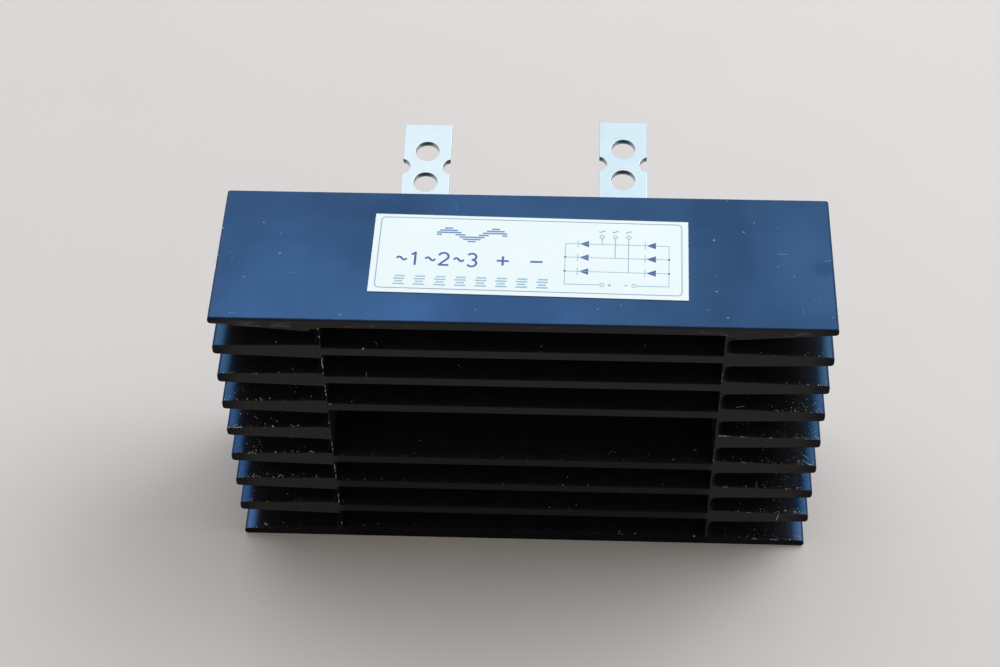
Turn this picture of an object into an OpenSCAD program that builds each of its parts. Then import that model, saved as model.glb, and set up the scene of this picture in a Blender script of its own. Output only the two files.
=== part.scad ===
// Three-phase bridge rectifier block: a finned heat sink cut from one extrusion,
// with the rectifier stack potted into a pocket in its back.
// Front is -Y, the terminals leave at +Y, and the block stands on Z = 0.

/* [Heat sink] */
// Width of the block across the fin tips
body_w = 125; // [110:1:140]
// Length of extrusion, front saw cut to back saw cut
body_d = 35; // [32:1:50]
// Levels of fins below the top plate, the bottom plate included
fin_levels = 8; // [7:1:10]
// Distance from one fin to the next
fin_pitch = 9; // [8:0.1:11]
// Thickness of the top plate between the webs
top_t = 2.4; // [2:0.1:3.4]
// Clear height between the top plate and the first centre plate
top_gap = 6.45; // [5.5:0.05:8]
// Thickness of the centre plates
centre_t = 2.1; // [1.5:0.1:3]
// Thickness of the bottom plate between the webs
bottom_t = 2.5; // [2:0.1:3.5]
// Level whose centre plate is left out, which makes the double-height cell
open_level = 4; // [3:1:5]

/* [Side fins] */
// Depth of the side fins, tip to web
fin_l = 21.6; // [18:0.05:23]
// Thickness of a side fin at its root
fin_root_t = 4.1; // [3.2:0.1:4.8]
// Thickness of a side fin at its tip
fin_tip_t = 2.5; // [1.9:0.1:3.1]
// Thickness of the top plate where it meets a web
top_root_t = 3.8; // [3.5:0.1:4.6]
// Thickness of the top and bottom plates at their outer edges
wing_tip_t = 1.7; // [1.5:0.1:2]
// Thickness of the two upright webs
web_t = 0.45; // [0.4:0.05:1.2]
// Rounding of the fin tips
tip_r = 0.7; // [0.4:0.05:0.75]
// Rounding at the bottom of the side gaps
gap_root_r = 1.5; // [0.5:0.1:1.8]

/* [Pocket and potting] */
// Depth of the pocket milled into the back
pocket_d = 17; // [15:0.5:20]
// Thickness of the base plate that seats on the milled plate ends
base_t = 3; // [2:0.1:4]
// Gap between the base plate's edges and the pocket walls
base_clear = 0.2; // [0.1:0.05:0.5]
// Depth of the potting's face below the back of the heat sink
pot_recess = 0.5; // [0.2:0.1:1.5]

/* [Terminals] */
// Width of a terminal
tab_w = 10.2; // [9:0.1:12]
// Thickness of a terminal
tab_t = 1.4; // [0.8:0.1:1.6]
// Diameter of the two screw holes in each terminal
hole_d = 5.1; // [4.2:0.1:5.6]
// Distance between the two screw holes
hole_spacing = 8.4; // [8:0.1:10]
// Distance from the terminal's end to the middle of its outer hole
hole_end = 7.45; // [5:0.05:8]
// Radius of the two side notches between the holes
notch_r = 2; // [1.5:0.1:2.2]
// Depth of the side notches
notch_depth = 1.6; // [1:0.1:1.8]
// Distance between the two direct-current terminals
dc_spacing = 42.1; // [36:0.1:46]
// Sideways offset of that pair from the middle of the block
dc_shift = -0.85; // [-2:0.05:2]
// Depth of their upper face below the top of the block
dc_drop = 7; // [5:0.1:9]
// Angle by which they are bent up behind the block
dc_rise = 6; // [0:0.5:8]
// Length of the positive terminal behind the block
dc_reach_positive = 25.3; // [22:0.1:30]
// Length of the negative terminal behind the block
dc_reach_negative = 26.8; // [22:0.1:30]
// Height of the alternating-current terminals' middle plane above the base
ac_h = 9; // [6:0.5:11]
// Length of those terminals behind the block
ac_reach = 26; // [22:0.1:30]

/* [Rectifier stack] */
// Thickness of the ceramic insulators
ceramic_t = 0.65; // [0.4:0.05:1]
// Thickness of the alternating-current plates
ac_plate_t = 1; // [0.6:0.1:1.5]
// Distance from a pocket wall to the middle of the outer plate and its terminal
side_room = 16.45; // [14.5:0.05:18]
// Gap between neighbouring insulators
ceramic_gap = 6; // [4:0.5:7]
// Ceramic left round each alternating-current plate
ceramic_margin = 1.5; // [1:0.1:2]
// Diameter of a diode pellet
diode_d = 11; // [8:0.5:12]
// Thickness of a diode pellet with its solder discs
diode_t = 1.4; // [1:0.1:2]
// Thickness of the positive and negative bus bars
bus_t = 1.2; // [0.8:0.1:1.5]
// Height of the bus bars
bus_h = 11; // [9:0.5:12]
// Distance between the upper and lower rows of diodes
row_pitch = 18; // [16:0.5:20]
// Gap between the bus bars, and between a bar and the riser beside it
bar_gap = 1.5; // [1:0.1:2]
// Width of the riser that takes the negative bar up to its terminal
riser_w = 5; // [3:0.5:6]
// Gap between that riser and the pocket wall
wall_gap = 2.5; // [1.5:0.1:3.5]

/* [Label] */
// Length of the rating label
label_w = 64.2; // [50:0.1:75]
// Depth of the rating label
label_d = 21.3; // [15:0.1:26]
// Thickness of the rating label
label_t = 0.15; // [0.1:0.05:0.4]
// Sideways place of the label's middle
label_x = 1.1; // [-5:0.1:5]
// Place of the label's middle along the extrusion
label_y = 0.4; // [-2:0.1:2]
// Slight turn of the label, clockwise from above
label_turn = 0.8; // [0:0.1:2]

/* [Hidden] */
$fn = 64;

// heat sink section
body_h = top_t + top_gap + (fin_levels - 1) * fin_pitch + bottom_t;
web_out = body_w / 2 - fin_l;               // outer face of a web
cell_w = 2 * (web_out - web_t);             // clear width between the webs
back_y = body_d / 2;
arc_steps = 6;                              // straight steps in each small rounding

// places through the pocket, from the base plate towards the back
seat_y = back_y - pocket_d;                 // milled ends of the centre plates
base_y = seat_y + base_t;
ceramic_y = base_y + ceramic_t;
ac_y = ceramic_y + ac_plate_t;
diode_y = ac_y + diode_t;
bus_y = diode_y + bus_t;
pot_y = back_y - pot_recess;
pocket_top = body_h - top_t;

// terminals
bend_r = 0.8;                               // inner radius of the bend between foot and blade
foot_l = 9;                                 // length of the foot that is soldered down
dc_z = body_h - dc_drop - tab_t / 2;        // middle plane of the direct-current blades
positive_x = dc_shift - dc_spacing / 2;
negative_x = dc_shift + dc_spacing / 2;
foot_margin = 1;                            // plate or bar left round a foot

// columns of the stack, one for each phase, set in from the pocket walls
ac_pitch = cell_w / 2 - side_room;
ceramic_w = ac_pitch - ceramic_gap;
ac_plate_w = ceramic_w - 2 * ceramic_margin;
riser_x = cell_w / 2 - wall_gap - riser_w;              // inner edge of the riser
bar_end = riser_x - bar_gap;                            // half length of the bars

// rows of the stack, counted down from the feet of the direct-current terminals
head_z = dc_z + tab_t / 2 - foot_l - foot_margin;       // lower edge of the bars' heads
upper_z = head_z - 2 * bar_gap - bus_h / 2;             // middle of the upper row
lower_z = upper_z - row_pitch;
ac_low = ac_h - tab_t / 2 - foot_margin;                // lower end of the plates
ac_high = upper_z + bus_h / 2 + foot_margin;            // upper end of the plates

// top face of a level's centre plate, level 1 being the first below the top plate
function level_top(level) = body_h - top_t - top_gap - (level - 1) * fin_pitch;
function level_mid(level) = level_top(level) - centre_t / 2;

// ---------- heat sink ----------

// Points along an arc, both ends included
function arc(c, r, from, to) =
    [for (i = [0 : arc_steps])
        let (a = from + (to - from) * i / arc_steps) c + r * [cos(a), sin(a)]];

// Heights of a side plate's lower and upper edges, as [at its web, at its tip].
// Level 0 is the top plate, flat above; the last level is the bottom plate, flat below.
function low_edge(level) =
    level == 0 ? [body_h - top_root_t, body_h - wing_tip_t]
    : level == fin_levels ? [0, 0]
    : [level_mid(level) - fin_root_t / 2, level_mid(level) - fin_tip_t / 2];
function high_edge(level) =
    level == 0 ? [body_h, body_h]
    : level == fin_levels ? [bottom_t, wing_tip_t]
    : [level_mid(level) + fin_root_t / 2, level_mid(level) + fin_tip_t / 2];

// How far an edge comes down for each millimetre outwards
function fall(edge) = (edge[0] - edge[1]) / fin_l;

// Rounded tip of a level's plate, from its upper edge to its lower
function tip_points(level) =
    let (low = low_edge(level), high = high_edge(level), x = body_w / 2 - tip_r,
         z_high = high[1] + tip_r * (fall(high) - norm([1, fall(high)])),
         z_low = low[1] + tip_r * (fall(low) + norm([1, fall(low)])))
    concat(arc([x, z_high], tip_r, 90 - atan(fall(high)), 0),
           arc([x, z_low], tip_r, 0, -90 - atan(fall(low))));

// Rounded bottom of the gap below a level's plate, from that plate to the next
function gap_points(level) =
    let (above = low_edge(level), below = high_edge(level + 1), x = web_out + gap_root_r,
         z_above = above[0] - gap_root_r * (fall(above) + norm([1, fall(above)])),
         z_below = below[0] - gap_root_r * (fall(below) - norm([1, fall(below)])))
    concat(arc([x, z_above], gap_root_r, 90 - atan(fall(above)), 180),
           arc([x, z_below], gap_root_r, 180, 270 - atan(fall(below))));

// Section of the extrusion: its outline, less one cell below each centre plate.
// The cell above the level that is left out runs down through it.
module section() {
    side = [for (level = [0 : fin_levels])
        each concat(tip_points(level), level < fin_levels ? gap_points(level) : [])];
    last = len(side) - 1;
    other_side = [for (i = [0 : last]) [-side[last - i].x, side[last - i].y]];
    difference() {
        polygon(concat(side, other_side));
        for (level = [0 : fin_levels - 1])
            if (level != open_level) {
                floor_z = level_top(level + 1 == open_level ? level + 2 : level + 1);
                ceiling_z = level == 0 ? pocket_top : level_top(level) - centre_t;
                translate([-cell_w / 2, floor_z]) square([cell_w, ceiling_z - floor_z]);
            }
    }
}

module heat_sink() {
    color("#16181d") difference() {
        translate([0, back_y, 0]) rotate([90, 0, 0]) linear_extrude(body_d) section();
        translate([-cell_w / 2, seat_y, bottom_t])
            cube([cell_w, pocket_d + 1, pocket_top - bottom_t]);
    }
}

// ---------- label ----------

module rating_label() {
    color("#f2f6f8")
        translate([label_x, label_y, body_h]) rotate([0, 0, -label_turn])
            translate([-label_w / 2, -label_d / 2, 0]) cube([label_w, label_d, label_t]);
}

// ---------- terminals ----------

// Side view of a terminal about its blade's middle plane: foot, bend and blade,
// bent up by rise where it leaves the block
module terminal_side(foot_y, reach, rise) {
    half = tab_t / 2;
    bend = [foot_y + tab_t + bend_r, -half - bend_r];
    mitre = half * tan(rise / 2);
    end = [back_y, 0] + reach * [cos(rise), sin(rise)];
    normal = half * [-sin(rise), cos(rise)];
    translate([foot_y, half - foot_l]) square([tab_t, foot_l - tab_t - bend_r]);
    intersection() {
        translate(bend) difference() {
            circle(r = bend_r + tab_t);
            circle(r = bend_r);
        }
        translate(bend - [bend_r + tab_t, 0]) square(bend_r + tab_t);
    }
    polygon([[bend.x, -half], [back_y + mitre, -half], end - normal,
             end + normal, [back_y - mitre, half], [bend.x, half]]);
}

// Terminal at x, its foot on the face at foot_y and its blade's middle plane at z.
// up is true where the foot points up from the blade.
module terminal(x, foot_y, z, reach, rise, up) {
    notch_out = tab_w / 2 - notch_depth + notch_r;
    difference() {
        translate([x - tab_w / 2, 0, z])
            mirror([0, 0, up ? 1 : 0]) rotate([90, 0, 90])
                linear_extrude(tab_w) terminal_side(foot_y, reach, rise);
        translate([x, back_y, z]) rotate([rise, 0, 0]) {
            for (i = [0, 1])
                translate([0, reach - hole_end - i * hole_spacing, 0])
                    cylinder(d = hole_d, h = 4 * tab_t, center = true);
            for (side = [-1, 1])
                translate([side * notch_out, reach - hole_end - hole_spacing / 2, 0])
                    cylinder(r = notch_r, h = 4 * tab_t, center = true);
        }
    }
}

module terminal_positive() {
    color("#d8dde0") terminal(positive_x, bus_y, dc_z, dc_reach_positive, dc_rise, false);
}

module terminal_negative() {
    color("#d8dde0") terminal(negative_x, bus_y, dc_z, dc_reach_negative, dc_rise, false);
}

module terminal_ac(phase) {
    color("#d8dde0") terminal((phase - 2) * ac_pitch, ac_y, ac_h, ac_reach, 0, true);
}

// ---------- rectifier stack ----------

// Flat piece in the X-Z plane, from x0, z0 to x1, z1, with its front face at y
module flat_piece(x0, x1, z0, z1, y, t) {
    translate([x0, y, z0]) cube([x1 - x0, t, z1 - z0]);
}

module base_plate() {
    color("#24262b")
        flat_piece(-cell_w / 2 + base_clear, cell_w / 2 - base_clear,
                   bottom_t + base_clear, pocket_top - base_clear, seat_y, base_t);
}

module insulator(phase) {
    x = (phase - 2) * ac_pitch;
    color("#efece4")
        flat_piece(x - ceramic_w / 2, x + ceramic_w / 2, ac_low - ceramic_margin, ac_high + ceramic_margin,
                   base_y, ceramic_t);
}

module ac_plate(phase) {
    x = (phase - 2) * ac_pitch;
    color("#b87333")
        flat_piece(x - ac_plate_w / 2, x + ac_plate_w / 2, ac_low, ac_high,
                   ceramic_y, ac_plate_t);
}

// Diodes 1 to 3 are the upper row, 4 to 6 the lower
module diode(number) {
    phase = (number - 1) % 3;
    color("#6b7078")
        translate([(phase - 1) * ac_pitch, ac_y, number > 3 ? lower_z : upper_z])
            rotate([-90, 0, 0]) cylinder(d = diode_d, h = diode_t);
}

module bus_bar(z, x1) {
    flat_piece(-bar_end, x1, z - bus_h / 2, z + bus_h / 2, diode_y, bus_t);
}

// Head of a bar, under the foot of the terminal at x, as far as x1
module bus_head(x, x1, z0) {
    flat_piece(x - tab_w / 2 - foot_margin, x1, z0, dc_z - tab_t / 2, diode_y, bus_t);
}

module positive_bus() {
    color("#b87333") {
        bus_bar(upper_z, bar_end);
        bus_head(positive_x, positive_x + tab_w / 2 + foot_margin, upper_z);
    }
}

module negative_bus() {
    color("#b87333") {
        bus_bar(lower_z, riser_x + riser_w);
        flat_piece(riser_x, riser_x + riser_w, lower_z, dc_z - tab_t / 2, diode_y, bus_t);
        bus_head(negative_x, riser_x + riser_w, head_z);
    }
}

// ---------- potting ----------

module potting() {
    color("#0e0f10") difference() {
        flat_piece(-cell_w / 2, cell_w / 2, bottom_t, pocket_top, base_y, pot_y - base_y);
        for (phase = [1 : 3]) {
            insulator(phase);
            ac_plate(phase);
            terminal_ac(phase);
        }
        for (number = [1 : 6]) diode(number);
        positive_bus();
        negative_bus();
        terminal_positive();
        terminal_negative();
    }
}

heat_sink();
rating_label();
base_plate();
potting();
terminal_positive();
terminal_negative();
terminal_ac(1);  // terminal_ac_1
terminal_ac(2);  // terminal_ac_2
terminal_ac(3);  // terminal_ac_3
positive_bus();
negative_bus();
ac_plate(1);  // ac_plate_1
ac_plate(2);  // ac_plate_2
ac_plate(3);  // ac_plate_3
insulator(1);  // insulator_1
insulator(2);  // insulator_2
insulator(3);  // insulator_3
diode(1);  // diode_1
diode(2);  // diode_2
diode(3);  // diode_3
diode(4);  // diode_4
diode(5);  // diode_5
diode(6);  // diode_6
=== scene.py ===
import math

import bpy
import numpy as np
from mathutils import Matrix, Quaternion, Vector


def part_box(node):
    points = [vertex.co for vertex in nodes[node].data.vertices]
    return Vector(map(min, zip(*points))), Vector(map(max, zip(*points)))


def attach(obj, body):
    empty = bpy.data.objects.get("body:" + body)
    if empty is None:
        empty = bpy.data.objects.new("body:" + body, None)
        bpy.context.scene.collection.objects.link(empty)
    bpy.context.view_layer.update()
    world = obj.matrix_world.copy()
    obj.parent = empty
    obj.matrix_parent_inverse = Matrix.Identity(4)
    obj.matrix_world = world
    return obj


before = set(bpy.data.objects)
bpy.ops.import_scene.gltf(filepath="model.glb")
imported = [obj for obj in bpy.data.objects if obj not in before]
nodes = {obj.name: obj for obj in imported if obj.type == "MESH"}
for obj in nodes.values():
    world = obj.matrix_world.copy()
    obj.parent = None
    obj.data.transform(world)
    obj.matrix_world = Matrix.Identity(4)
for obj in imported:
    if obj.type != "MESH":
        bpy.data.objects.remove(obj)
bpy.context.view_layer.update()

mm = 0.001
print("frame loaded:", len(nodes), "nodes")


# A colour written as it should look on screen, turned into linear light
def colour(code):
    value = np.array([int(code[i:i + 2], 16) for i in (1, 3, 5)]) / 255
    linear = np.where(value <= 0.04045, value / 12.92, ((value + 0.055) / 1.055) ** 2.4)
    return (*linear.tolist(), 1)


# Gives a node its inputs by name or number: a socket is linked, and anything else is set as a value
def connect(tree, node, inputs):
    for key, value in inputs.items():
        if isinstance(value, bpy.types.NodeSocket):
            tree.links.new(value, node.inputs[key])
        else:
            node.inputs[key].default_value = value


# A new shader node with its inputs and settings
def put(tree, kind, inputs=None, **settings):
    node = tree.nodes.new("ShaderNode" + kind)
    for key, value in settings.items():
        setattr(node, key, value)
    connect(tree, node, inputs or {})
    return node


# One value, or several joined from the left, put through an operation
def maths(tree, operation, first, *others, clamp=False):
    for other in others or (0.0,):
        node = put(tree, "Math", {0: first, 1: other}, operation=operation, use_clamp=clamp)
        first = node.outputs[0]
    return first


def product(tree, *values, clamp=False):
    return maths(tree, "MULTIPLY", *values, clamp=clamp)


# What a mask leaves uncovered
def uncovered(tree, mask):
    return maths(tree, "SUBTRACT", 1.0, mask)


# Rises smoothly from 0 at low to 1 at high, or the other way round when low is the greater
def ramp(tree, value, low, high):
    if low < high:
        limits = {"Value": value, "From Min": low, "From Max": high}
    else:
        limits = {"Value": value, "From Min": high, "From Max": low, "To Min": 1.0, "To Max": 0.0}
    return put(tree, "MapRange", limits, interpolation_type="SMOOTHSTEP").outputs["Result"]


# Object coordinates in millimetres, stretched by a factor for each axis
def places(tree, stretch=(1, 1, 1)):
    coordinates = put(tree, "TexCoord")
    scale = [s / mm for s in stretch]
    return put(tree, "Mapping", {"Vector": coordinates.outputs["Object"], "Scale": scale}).outputs[0]


# The three values of a vector or a colour, as X, Y and Z
def apart(tree, vector):
    return put(tree, "SeparateXYZ", {0: vector}).outputs


# Noise whose features are about size millimetres across
def noise(tree, vector, size, detail=2.0, roughness=0.5):
    return put(tree, "TexNoise", {"Vector": vector, "Scale": 1 / size, "Detail": detail,
                                  "Roughness": roughness}).outputs["Fac"]


# Round specks: one point in each cell of the given size, drawn where the cell's own number is under share
def specks(tree, vector, size, radius, share):
    cells = put(tree, "TexVoronoi", {"Vector": vector, "Scale": 1 / size})
    spot = ramp(tree, cells.outputs["Distance"], radius / size, 0.5 * radius / size)
    number = apart(tree, cells.outputs["Color"])["X"]
    return product(tree, spot, maths(tree, "LESS_THAN", number, share))


# A mix of two colours, from the first where the mask is 0 to the second where it is 1
def blend(tree, mask, a, b):
    return put(tree, "Mix", {0: mask, 6: a, 7: b}, data_type="RGBA").outputs[2]


# The same with two coded colours, and with two values
def toned(tree, mask, codes):
    return blend(tree, mask, *(colour(code) for code in codes))


def between(tree, mask, a, b):
    return put(tree, "Mix", {0: mask, 2: a, 3: b}).outputs[0]


def bump(tree, height, distance):
    return put(tree, "Bump", {"Height": height, "Distance": distance * mm}).outputs[0]


# A material with one Principled shader; sockets is a function that gives its inputs
def finish(name, sockets):
    material = bpy.data.materials.new(name)
    material.use_nodes = True
    tree = material.node_tree
    connect(tree, tree.nodes["Principled BSDF"], sockets(tree))
    return material


# A finish in soft patches: tones are two colours, rough is two values and relief is one depth, each followed
# by the size and the detail of its patches. Even holds the inputs that are the same all over, drawn
# stretches the relief, and cover is a function that changes the tone.
def mottled(name, v, cover=None):
    def sockets(tree):
        where = places(tree)
        tone = toned(tree, noise(tree, where, *v["tones"][2:]), v["tones"][:2])
        inputs = {"Base Color": cover(tree, where, tone) if cover else tone, **v["even"]}
        if "rough" in v:
            low, high, *patch = v["rough"]
            inputs["Roughness"] = between(tree, noise(tree, where, *patch), low, high)
        if "relief" in v:
            depth, *patch = v["relief"]
            stretched = places(tree, v.get("drawn", (1, 1, 1)))
            inputs["Normal"] = bump(tree, noise(tree, stretched, *patch), depth)
        return inputs
    return finish(name, sockets)


# Rows of values, each scaled to a length of 1
def unit(rows):
    return rows / np.linalg.norm(rows, axis=1, keepdims=True)


# Six times the volume that the faces enclose, which is negative when they point inwards
def volume(points, faces):
    a, b, c = (points[faces[:, i]] for i in range(3))
    total = np.einsum("ij,ij->", a, np.cross(b, c))
    if faces.shape[1] == 4:
        d = points[faces[:, 3]]
        total += np.einsum("ij,ij->", a, np.cross(c, d))
    return total


# Turns the faces round if they point inwards
def outwards(points, faces):
    return (points, faces[:, ::-1]) if volume(points, faces) < 0 else (points, faces)


def addObject(name, data):
    added = bpy.data.objects.new(name, data)
    bpy.context.scene.collection.objects.link(added)
    return added


# Puts arrays of points and faces into a mesh that rides on the block
def addPiece(name, shape, material, smooth=False):
    points, faces = shape
    mesh = bpy.data.meshes.new(name)
    mesh.vertices.add(len(points))
    mesh.vertices.foreach_set("co", (points * mm).ravel())
    mesh.loops.add(faces.size)
    mesh.loops.foreach_set("vertex_index", faces.ravel().astype(np.int32))
    mesh.polygons.add(len(faces))
    mesh.polygons.foreach_set("loop_start", np.arange(0, faces.size, faces.shape[1], dtype=np.int32))
    mesh.polygons.foreach_set("use_smooth", np.full(len(faces), smooth))
    mesh.update(calc_edges=True)
    mesh.validate()
    mesh.materials.append(material)
    piece = addObject(name, mesh)
    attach(piece, "root")


# Several shapes as one: each shape's faces count on from the points before it
def together(shapes):
    starts = np.cumsum([0] + [len(points) for points, _ in shapes])
    points = np.concatenate([points for points, _ in shapes])
    faces = np.concatenate([faces + start for (_, faces), start in zip(shapes, starts)])
    return points, faces


# Four-sided faces between the rows and columns of a grid of points, joined round where a way is closed
def gridFaces(rows, columns, roundRows=False, roundColumns=False):
    i = np.arange(rows if roundRows else rows - 1)[:, None]
    j = np.arange(columns if roundColumns else columns - 1)[None, :]
    nextI, nextJ = (i + 1) % rows, (j + 1) % columns
    corners = [i * columns + j, nextI * columns + j, nextI * columns + nextJ, i * columns + nextJ]
    return np.stack([np.broadcast_to(c, (i.size, j.size)) for c in corners], -1).reshape(-1, 4)


square = np.array([(-1, -1), (1, -1), (1, 1), (-1, 1)])


# A four-cornered section carried along a path: each corner stands at the path's point, plus its first
# value times across, plus its second times up. The ends are closed, or joined where the path is a ring.
def carried(path, across, up, section=square, ring=False):
    section = np.asarray(section, float)
    points = path[:, None] + section[None, :, :1] * across[:, None] + section[None, :, 1:] * up[:, None]
    faces = gridFaces(len(path), 4, ring, True)
    if not ring:
        last = 4 * (len(path) - 1)
        faces = np.concatenate([faces, [[3, 2, 1, 0]], [[last, last + 1, last + 2, last + 3]]])
    return outwards(points.reshape(-1, 3), faces)


# A closed slab between two grids of points with the same rows and columns
def slab(top, bottom):
    rows, columns = top.shape[:2]
    count = rows * columns
    number = np.arange(count).reshape(rows, columns)
    rim = np.concatenate([number[0, :-1], number[:-1, -1], number[-1, :0:-1], number[:0:-1, 0]])
    after = np.roll(rim, -1)
    wall = np.stack([rim, after, after + count, rim + count], 1)
    faces = gridFaces(rows, columns)
    faces = np.concatenate([faces, faces[:, ::-1] + count, wall[:, ::-1]])
    return outwards(np.concatenate([top.reshape(-1, 3), bottom.reshape(-1, 3)]), faces)


# The heat sink: levels of fins and plates under a top plate, counted from the top down
sink = dict(topGap=6.45, topPlate=2.4, pitch=9, centrePlate=2.1, levels=8, finLength=21.6, finRoot=4.1,
            finTip=2.5, bottomRoot=2.5, bottomTip=1.7)
sinkLow, sinkHigh = (np.round(np.array(corner) / mm, 3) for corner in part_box("heat_sink"))
sink.update(zip(("width", "depth", "height"), sinkHigh - sinkLow))
sink["front"] = -sink["depth"] / 2
sink["webOut"] = sink["width"] / 2 - sink["finLength"]
sink["firstMiddle"] = sink["height"] - sink["topPlate"] - sink["topGap"] - sink["centrePlate"] / 2


# Height of the face that looks up on each level, at a distance x from the middle: the level's centre plate
# between the webs, and outside them half the fin's thickness above the middle of that plate
def finTop(level, x):
    top = sink["height"] - sink["topPlate"] - sink["topGap"] - (level - 1) * sink["pitch"]
    outwardShare = np.clip((np.abs(x) - sink["webOut"]) / sink["finLength"], 0, 1)
    thick = sink["finRoot"] + (sink["finTip"] - sink["finRoot"]) * outwardShare
    fin = top - sink["centrePlate"] / 2 + thick / 2
    bottom = sink["bottomRoot"] + (sink["bottomTip"] - sink["bottomRoot"]) * outwardShare
    onFin = np.where(level == sink["levels"], bottom, fin)
    return np.where(np.abs(x) < sink["webOut"], top, onFin)


# The sink's finish. A spot is x, y and its reach along each. The plate and the lip have a right and a left
# tone, a tip has one high up, one low down and one on the bottom plate, and a layer on the saw cuts has its
# share and its tone. The slate blue of the plate, the tips and the lip is a painted reflection of a blue
# sky, and the gaps' tone is painted shade.
anodising = dict(
    plate=("#2a4463", "#2c486b"), paintedHighlight=(-7, -18, 27, 11), paintedHighlightTone="#304e77",
    rightTips=("#2c4761", "#24405d", "#334965"), leftTips=("#27455f", "#213c5f", "#314a6e"),
    smudgesAndDimReflection=((-30, 17, 19, 10), (28, 17, 19, 10), (40, 2, 8, 22), (60.5, -1.5, 3.2, 2.6)),
    smudgeAndDimShare=0.55, smudgeAndDimDepth=0.75, smudgeAndDimTone="#213753", shade="#182029", paintedLipSheen=("#34496a", "#40587e"),
    gaps="#2b2d34", gapSheen=0.1, satin=(0.2, 0.29), cutRough=0.62, relief=0.006,
    cut=("#333434", "#464646"), webShares=(0.35, 0.97), rimRagged=0.3, rimOnTop=0.12, rimLessBehind=0.3,
    scuffsLeft=0.09, hazeAndPaintedLight=0.06, hazeAndPaintedLightTone="#808da2", dustTone="#b9bfc6",
    layers=dict(lowMiddleShade=(0.5, "#1d1d1f"), bottomPlateShade=(0.7, "#16171b"), finTipShade=(0.6, "#191c22"),
                upperEdgeReflection=(0.75, "#1b3049"), webs=(1.0, "#0a0a0b"), scuffs=(1.0, "#5b5453")))

# What each of its masks rises between, from 0 at the first value to 1 at the second
spans = dict(
    onTop=(-0.5, -0.1), onFloor=(0.4, 0.1), onTip=(-4.0, -1.9), rim=(-0.04, 0.06), leftward=(55, -55),
    downward=(66, 30), bottomTip=(5, 4), frontHalf=(1, -1), leftHalf=(1, -1), sawnEnd=(0.75, 0.95),
    outerEnd=(0.97, 0.995), underside=(-0.2, -0.6), facingUp=(0.6, 0.9), lipStart=(0.05, 0.3),
    lipEnd=(0.995, 0.97), lipUp=(0.0, 0.2), clouds=(0.72, 0.3), inMiddle=(41, 39), lowDown=(66, 22),
    bottomPlateShade=(3.2, 2.7), finTipShade=(57, 62), upperEdgeReflection=(-0.75, -0.3), webOutside=(42.6, 42.2),
    webInside=(40.2, 40.35), betweenPlates=(-0.15, 0.15), scuffsLeft=(-30, -45), scuffs=(0.62, 0.7),
    scuffsAbove=(71.7, 72.0), scuffsBelow=(73.6, 73.1), dustPatches=(0.42, 0.62), underPlate=(72, 70),
    hazeAndPaintedLight=(0.45, 0.75))


# The mask of one of the spans, which may be counted from a starting value
def span(tree, name, value, start=0.0):
    low, high = spans[name]
    return ramp(tree, value, start + low, start + high)


# 1 inside an ellipse round a place on the plate, falling smoothly to 0 at its rim
def around(tree, spot, x, y, reachX, reachY):
    dx = maths(tree, "DIVIDE", maths(tree, "SUBTRACT", spot["X"], x), reachX)
    dy = maths(tree, "DIVIDE", maths(tree, "SUBTRACT", spot["Y"], y), reachY)
    distance = maths(tree, "ADD", product(tree, dx, dx), product(tree, dy, dy))
    return ramp(tree, distance, 1.0, 0.15)


# 1 on the sawn ends and on the ragged rim that the saw left beside them; on the top plate the rim reaches
# further in, and there the upper-edge layer paints a dark reflection along the rounded edge
def sawnMask(tree, spot, normal, onTop):
    v = anodising
    ragged = noise(tree, places(tree, (1, 0.2, 1)), 1.6, detail=4)
    fromMiddle = maths(tree, "MAXIMUM", product(tree, spot["Y"], -1.0),
                       maths(tree, "SUBTRACT", spot["Y"], v["rimLessBehind"]))
    reach = maths(tree, "ADD", fromMiddle, product(tree, ragged, v["rimRagged"]),
                  product(tree, onTop, v["rimOnTop"]))
    sawnEnd = span(tree, "sawnEnd", maths(tree, "ABSOLUTE", normal["Y"]))
    return maths(tree, "MAXIMUM", sawnEnd, span(tree, "rim", reach, sink["depth"] / 2))


# Where each kind of surface lies on the sink, as masks from 0 to 1
def sinkMasks(tree):
    where = places(tree)
    spot = apart(tree, where)
    normal = apart(tree, put(tree, "TexCoord").outputs["Normal"])
    away = maths(tree, "ABSOLUTE", spot["X"])
    sideways = maths(tree, "ABSOLUTE", normal["X"])
    onTop = span(tree, "onTop", spot["Z"], sink["height"])
    # outside the gaps: the top, the fin tips and the face on the floor; the rest takes the painted gap shade
    outsideGapShade = maths(tree, "MAXIMUM", span(tree, "onTip", away, sink["width"] / 2),
                    maths(tree, "ADD", onTop, span(tree, "onFloor", spot["Z"])))
    shaded = maths(tree, "MAXIMUM", span(tree, "outerEnd", sideways), span(tree, "underside", normal["Z"]))
    # the bevel along the outer top edges, where a painted sheen stands in for the dark reflection there
    paintedLipSheen = product(tree, span(tree, "lipStart", sideways), span(tree, "lipEnd", sideways),
                  span(tree, "lipUp", normal["Z"]), outsideGapShade)
    return dict(where=where, spot=spot, away=away, onTop=onTop, outsideGapShade=outsideGapShade, shaded=shaded, paintedLipSheen=paintedLipSheen,
                sawn=sawnMask(tree, spot, normal, onTop), facingUp=span(tree, "facingUp", normal["Z"]),
                leftward=span(tree, "leftward", spot["X"]), frontHalf=span(tree, "frontHalf", spot["Y"]))


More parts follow.
